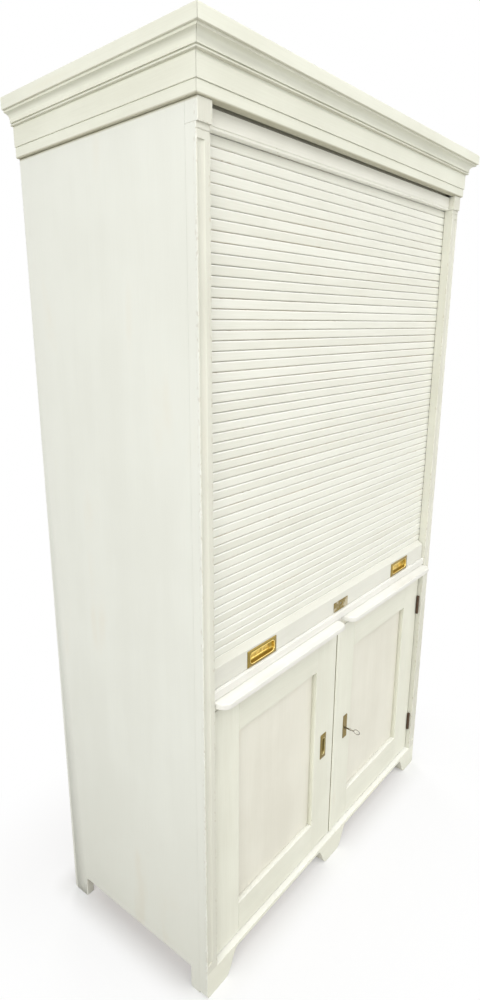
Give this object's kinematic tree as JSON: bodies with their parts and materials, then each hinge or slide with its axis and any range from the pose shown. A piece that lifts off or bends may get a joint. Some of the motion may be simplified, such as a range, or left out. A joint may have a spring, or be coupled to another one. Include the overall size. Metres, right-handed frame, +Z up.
{
  "type": "tambour door cabinet",
  "caption": "Tall painted storage cabinet with a slatted tambour front that rises behind a moulded cornice, pull-out slides, panelled lower doors with lock and key, and shaped feet.",
  "frame": {"origin": "on the floor under the middle of the cabinet's bounding box", "axes": "+X to the cabinet's left-to-right as seen from the front, +Y to its back, +Z up"},
  "size_m": [1.272, 0.539, 2.047],
  "materials": {
    "white_paint": "brushed off-white chalk paint, worn at the edges",
    "slat_paint": "brushed off-white chalk paint",
    "bare_wood": "unpainted softwood",
    "brass": "polished, slightly tarnished",
    "iron": "dark, oxidised",
    "steel": "worn"
  },
  "bodies": {
    "carcass": {"side_panel_left": "white_paint", "side_panel_right": "white_paint", "pilaster_left": "white_paint", "pilaster_right": "white_paint", "capital_block_left": "white_paint", "capital_block_right": "white_paint", "base_rail": "white_paint", "bottom_board": "bare_wood", "sill_board": "white_paint", "cross_rail": "white_paint", "header_board": "white_paint", "cornice_front": "white_paint", "cornice_left": "white_paint", "cornice_right": "white_paint", "dust_board": "bare_wood", "ceiling_board": "bare_wood", "false_back": "bare_wood", "upper_shelf_1": "bare_wood", "upper_shelf_2": "bare_wood", "lower_shelf": "bare_wood", "back_board_left": "bare_wood", "back_board_right": "bare_wood", "slide_runner_left": "bare_wood", "slide_runner_right": "bare_wood", "slide_runner_centre": "white_paint", "left_lower_hinge_frame_leaf": "iron", "left_upper_hinge_frame_leaf": "iron", "right_lower_hinge_frame_leaf": "iron", "right_upper_hinge_frame_leaf": "iron", "tambour_slats_upper": "slat_paint", "tambour_slats_tail": "slat_paint"},
    "tambour": {"tambour_rail": "slat_paint", "tambour_slats_lower": "slat_paint", "tambour_pull_left": "brass", "tambour_pull_right": "brass", "tambour_lock_plate": "brass"},
    "tambour_bolt": {"tambour_lock_bolt": "steel"},
    "left_slide": {"slide_left": "white_paint"},
    "right_slide": {"slide_right": "white_paint"},
    "left_door": {"left_door_hinge_stile": "white_paint", "left_door_meeting_stile": "white_paint", "left_door_bottom_rail": "white_paint", "left_door_top_rail": "white_paint", "left_door_panel": "white_paint", "left_lower_hinge_door_leaf": "iron", "left_upper_hinge_door_leaf": "iron", "left_door_pull": "brass"},
    "top_bolt": {"left_door_top_bolt": "steel"},
    "bottom_bolt": {"left_door_bottom_bolt": "steel"},
    "right_door": {"right_door_hinge_stile": "white_paint", "right_door_meeting_stile": "white_paint", "right_door_bottom_rail": "white_paint", "right_door_top_rail": "white_paint", "right_door_panel": "white_paint", "right_lower_hinge_door_leaf": "iron", "right_upper_hinge_door_leaf": "iron", "right_door_escutcheon": "brass", "right_door_lock_case": "iron"},
    "lock_bolt": {"right_door_lock_bolt": "steel"},
    "door_key": {"key": "steel"}
  },
  "joints": [
    {"name": "tambour_lift", "type": "slide", "parent": "carcass", "child": "tambour", "axis": [0, 0, 1], "range_m": [0, 1.019], "deforming": ["tambour_slats_upper"]},
    {"name": "tambour_bolt_throw", "type": "slide", "parent": "tambour", "child": "tambour_bolt", "axis": [0, 0, -1], "range_m": [0, 0.012]},
    {"name": "left_slide_pull", "type": "slide", "parent": "carcass", "child": "left_slide", "axis": [0, -1, 0], "range_m": [0, 0.3]},
    {"name": "right_slide_pull", "type": "slide", "parent": "carcass", "child": "right_slide", "axis": [0, -1, 0], "range_m": [0, 0.3]},
    {"name": "left_door_hinge", "type": "hinge", "parent": "carcass", "child": "left_door", "pos_m": [-0.5572, -0.2233, 0.4155], "axis": [0, 0, -1], "range_deg": [0, 130]},
    {"name": "top_bolt_throw", "type": "slide", "parent": "left_door", "child": "top_bolt", "axis": [0, 0, 1], "range_m": [0, 0.014]},
    {"name": "bottom_bolt_throw", "type": "slide", "parent": "left_door", "child": "bottom_bolt", "axis": [0, 0, -1], "range_m": [0, 0.014]},
    {"name": "right_door_hinge", "type": "hinge", "parent": "carcass", "child": "right_door", "pos_m": [0.5572, -0.2233, 0.4155], "axis": [0, 0, 1], "range_deg": [0, 130]},
    {"name": "lock_bolt_throw", "type": "slide", "parent": "right_door", "child": "lock_bolt", "axis": [-1, 0, 0], "range_m": [0, 0.01]},
    {"name": "key_turn", "type": "hinge", "parent": "right_door", "child": "door_key", "pos_m": [0.071, -0.2185, 0.406], "axis": [0, -1, 0], "range_deg": [0, 360]}
  ],
  "couplings": [
    {"joint": "key_turn", "follows": "lock_bolt_throw", "rad_per_m": 628.3}
  ]
}
